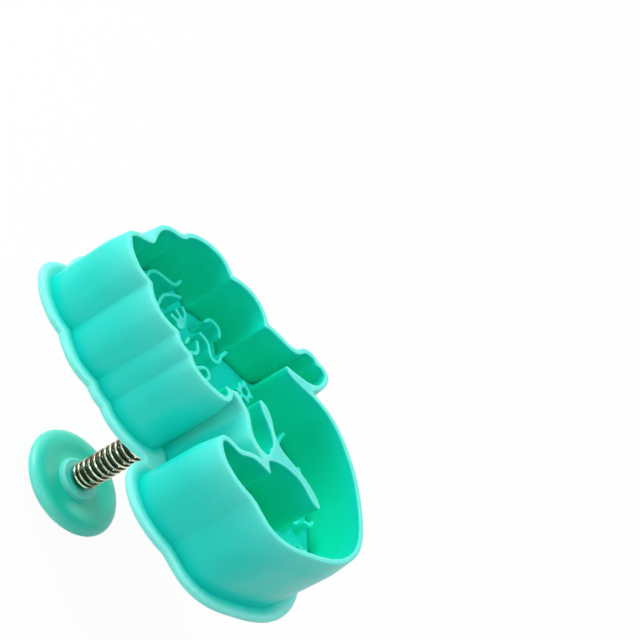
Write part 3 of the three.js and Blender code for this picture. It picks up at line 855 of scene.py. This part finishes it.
# The cutter's painted shade is a greener turquoise; the knob's is near black-green, painted shade for the
# stem inside the spring
cutter_plastic = moulded_plastic(
    "turquoise_plastic", (0.003, 0.68, 0.585, 1), (0.005, 0.73, 0.635, 1), painted_shade=(0.002, 0.82, 0.54, 1))
knob_plastic = moulded_plastic(
    "turquoise_plastic_knob", (0.01, 0.68, 0.5, 1), (0.015, 0.74, 0.56, 1), painted_shade=(0.012, 0.09, 0.05, 1))
steel = drawn_wire()

# Moving the outline out and back in rounds the corners that point in, and the other way around
cavity_loop = figure_outline()
for step_out in (CORNER_IN, -CORNER_IN, -CORNER_OUT, CORNER_OUT):
    moved = loop_field(cavity_loop, abs(step_out), FINE_GRID).outline(step_out)
    cavity_loop = creased(moved, OUTLINE_STEP)

dress(cutter_shell(cavity_loop), "cutter_shell", "cutter", cutter_plastic)
dress(stamp(cavity_loop), "stamp", "plunger", cutter_plastic)
dress(plunger_knob(), "plunger_knob", "plunger", knob_plastic)
spring = dress(return_spring(), "return_spring", "plunger", steel)
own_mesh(spring)


# Camera: where the photograph of the lying cutter was taken from, in metres, with its axes in the frame
CAMERA_PLACE = (-0.3610, 0.04825, 0.2903)
CAMERA_RIGHT = (0.3693, -0.5554, 0.7451)
CAMERA_UP = (0.3594, 0.8247, 0.4366)
CAMERA_BACK = (-0.8570, 0.1065, 0.5042)
FOCAL_PIXELS = 2120
PICTURE_PIXELS = 640
SENSOR = 36

lens = bpy.data.cameras.new("camera")
lens.sensor_fit = "HORIZONTAL"
lens.sensor_width = SENSOR
lens.lens = FOCAL_PIXELS / PICTURE_PIXELS * SENSOR
lens.clip_start = 0.01
lens.clip_end = 50
camera = bpy.data.objects.new("camera", lens)
turned = Matrix((CAMERA_RIGHT, CAMERA_UP, CAMERA_BACK)).transposed().to_4x4()
camera.matrix_world = Matrix.Translation(CAMERA_PLACE) @ turned
bpy.context.scene.collection.objects.link(camera)
bpy.context.scene.camera = camera


# Stage, in metres: pale floor that the camera sees as white, and soft light
MIDDLE = (0, 0, 0.045)


def white_to_camera(tree, strength):
    """A factor that is on for rays from the camera, off mirrors and through glass."""
    path = node(tree, "ShaderNodeLightPath")
    glossy = node(tree, "ShaderNodeMath", operation="MAXIMUM")
    seen = node(tree, "ShaderNodeMath", operation="MAXIMUM")
    tree.links.new(path.outputs["Is Glossy Ray"], glossy.inputs[0])
    tree.links.new(path.outputs["Is Transmission Ray"], glossy.inputs[1])
    tree.links.new(path.outputs["Is Camera Ray"], seen.inputs[0])
    tree.links.new(glossy.outputs[0], seen.inputs[1])
    scaled = node(tree, "ShaderNodeMath", {1: strength}, operation="MULTIPLY")
    tree.links.new(seen.outputs[0], scaled.inputs[0])
    return scaled.outputs[0]


def floor():
    """A large plain floor that keeps a little of the object's shadow."""
    made, tree, shader = material("floor")
    shader.inputs["Base Color"].default_value = (0.8, 0.8, 0.8, 1)
    shader.inputs["Roughness"].default_value = 0.9
    shader.inputs["Specular IOR Level"].default_value = 0
    glow = node(tree, "ShaderNodeEmission", {"Color": (1, 1, 1, 1), "Strength": 1})
    mixed = node(tree, "ShaderNodeMixShader")
    tree.links.new(white_to_camera(tree, strength=0.95), mixed.inputs["Fac"])
    tree.links.new(shader.outputs["BSDF"], mixed.inputs[1])
    tree.links.new(glow.outputs["Emission"], mixed.inputs[2])
    tree.links.new(mixed.outputs["Shader"], tree.nodes["Material Output"].inputs["Surface"])
    reach = 6
    corners = [(-reach, -reach, 0), (reach, -reach, 0), (reach, reach, 0), (-reach, reach, 0)]
    mesh = bpy.data.meshes.new("floor")
    mesh.from_pydata(corners, [], [(0, 1, 2, 3)])
    mesh.materials.append(made)
    plane = bpy.data.objects.new("floor", mesh)
    bpy.context.scene.collection.objects.link(plane)


def world():
    """Even light from all around, seen as white."""
    made = bpy.data.worlds.new("studio")
    made.use_nodes = True
    bpy.context.scene.world = made
    tree = made.node_tree
    ambient = tree.nodes["Background"]
    ambient.inputs["Color"].default_value = (1, 1, 1, 1)
    ambient.inputs["Strength"].default_value = 0.4
    white = node(tree, "ShaderNodeBackground", {"Color": (1, 1, 1, 1), "Strength": 1})
    mixed = node(tree, "ShaderNodeMixShader")
    tree.links.new(white_to_camera(tree, strength=1), mixed.inputs["Fac"])
    tree.links.new(ambient.outputs["Background"], mixed.inputs[1])
    tree.links.new(white.outputs["Background"], mixed.inputs[2])
    tree.links.new(mixed.outputs["Shader"], tree.nodes["World Output"].inputs["Surface"])


def softbox(name, place, size, power):
    """A round lamp that is turned towards the middle of the object."""
    lamp = bpy.data.lights.new(name, "AREA")
    lamp.shape = "DISK"
    lamp.size = size
    lamp.energy = power
    made = bpy.data.objects.new(name, lamp)
    made.location = place
    way = made.location - Vector(MIDDLE)
    made.rotation_euler = way.to_track_quat("Z", "Y").to_euler()
    bpy.context.scene.collection.objects.link(made)


floor()
world()
softbox("overhead", place=(-0.1, 0, 0.8), size=0.6, power=2.6)
softbox("key", place=(0.1, 0.65, 0.35), size=0.45, power=3.5)
softbox("side", place=(-0.6, 0.45, 0.06), size=0.3, power=1.5)
softbox("back", place=(0.65, -0.08, 0.42), size=0.5, power=0.3)

bpy.context.scene.view_settings.view_transform = "Standard"
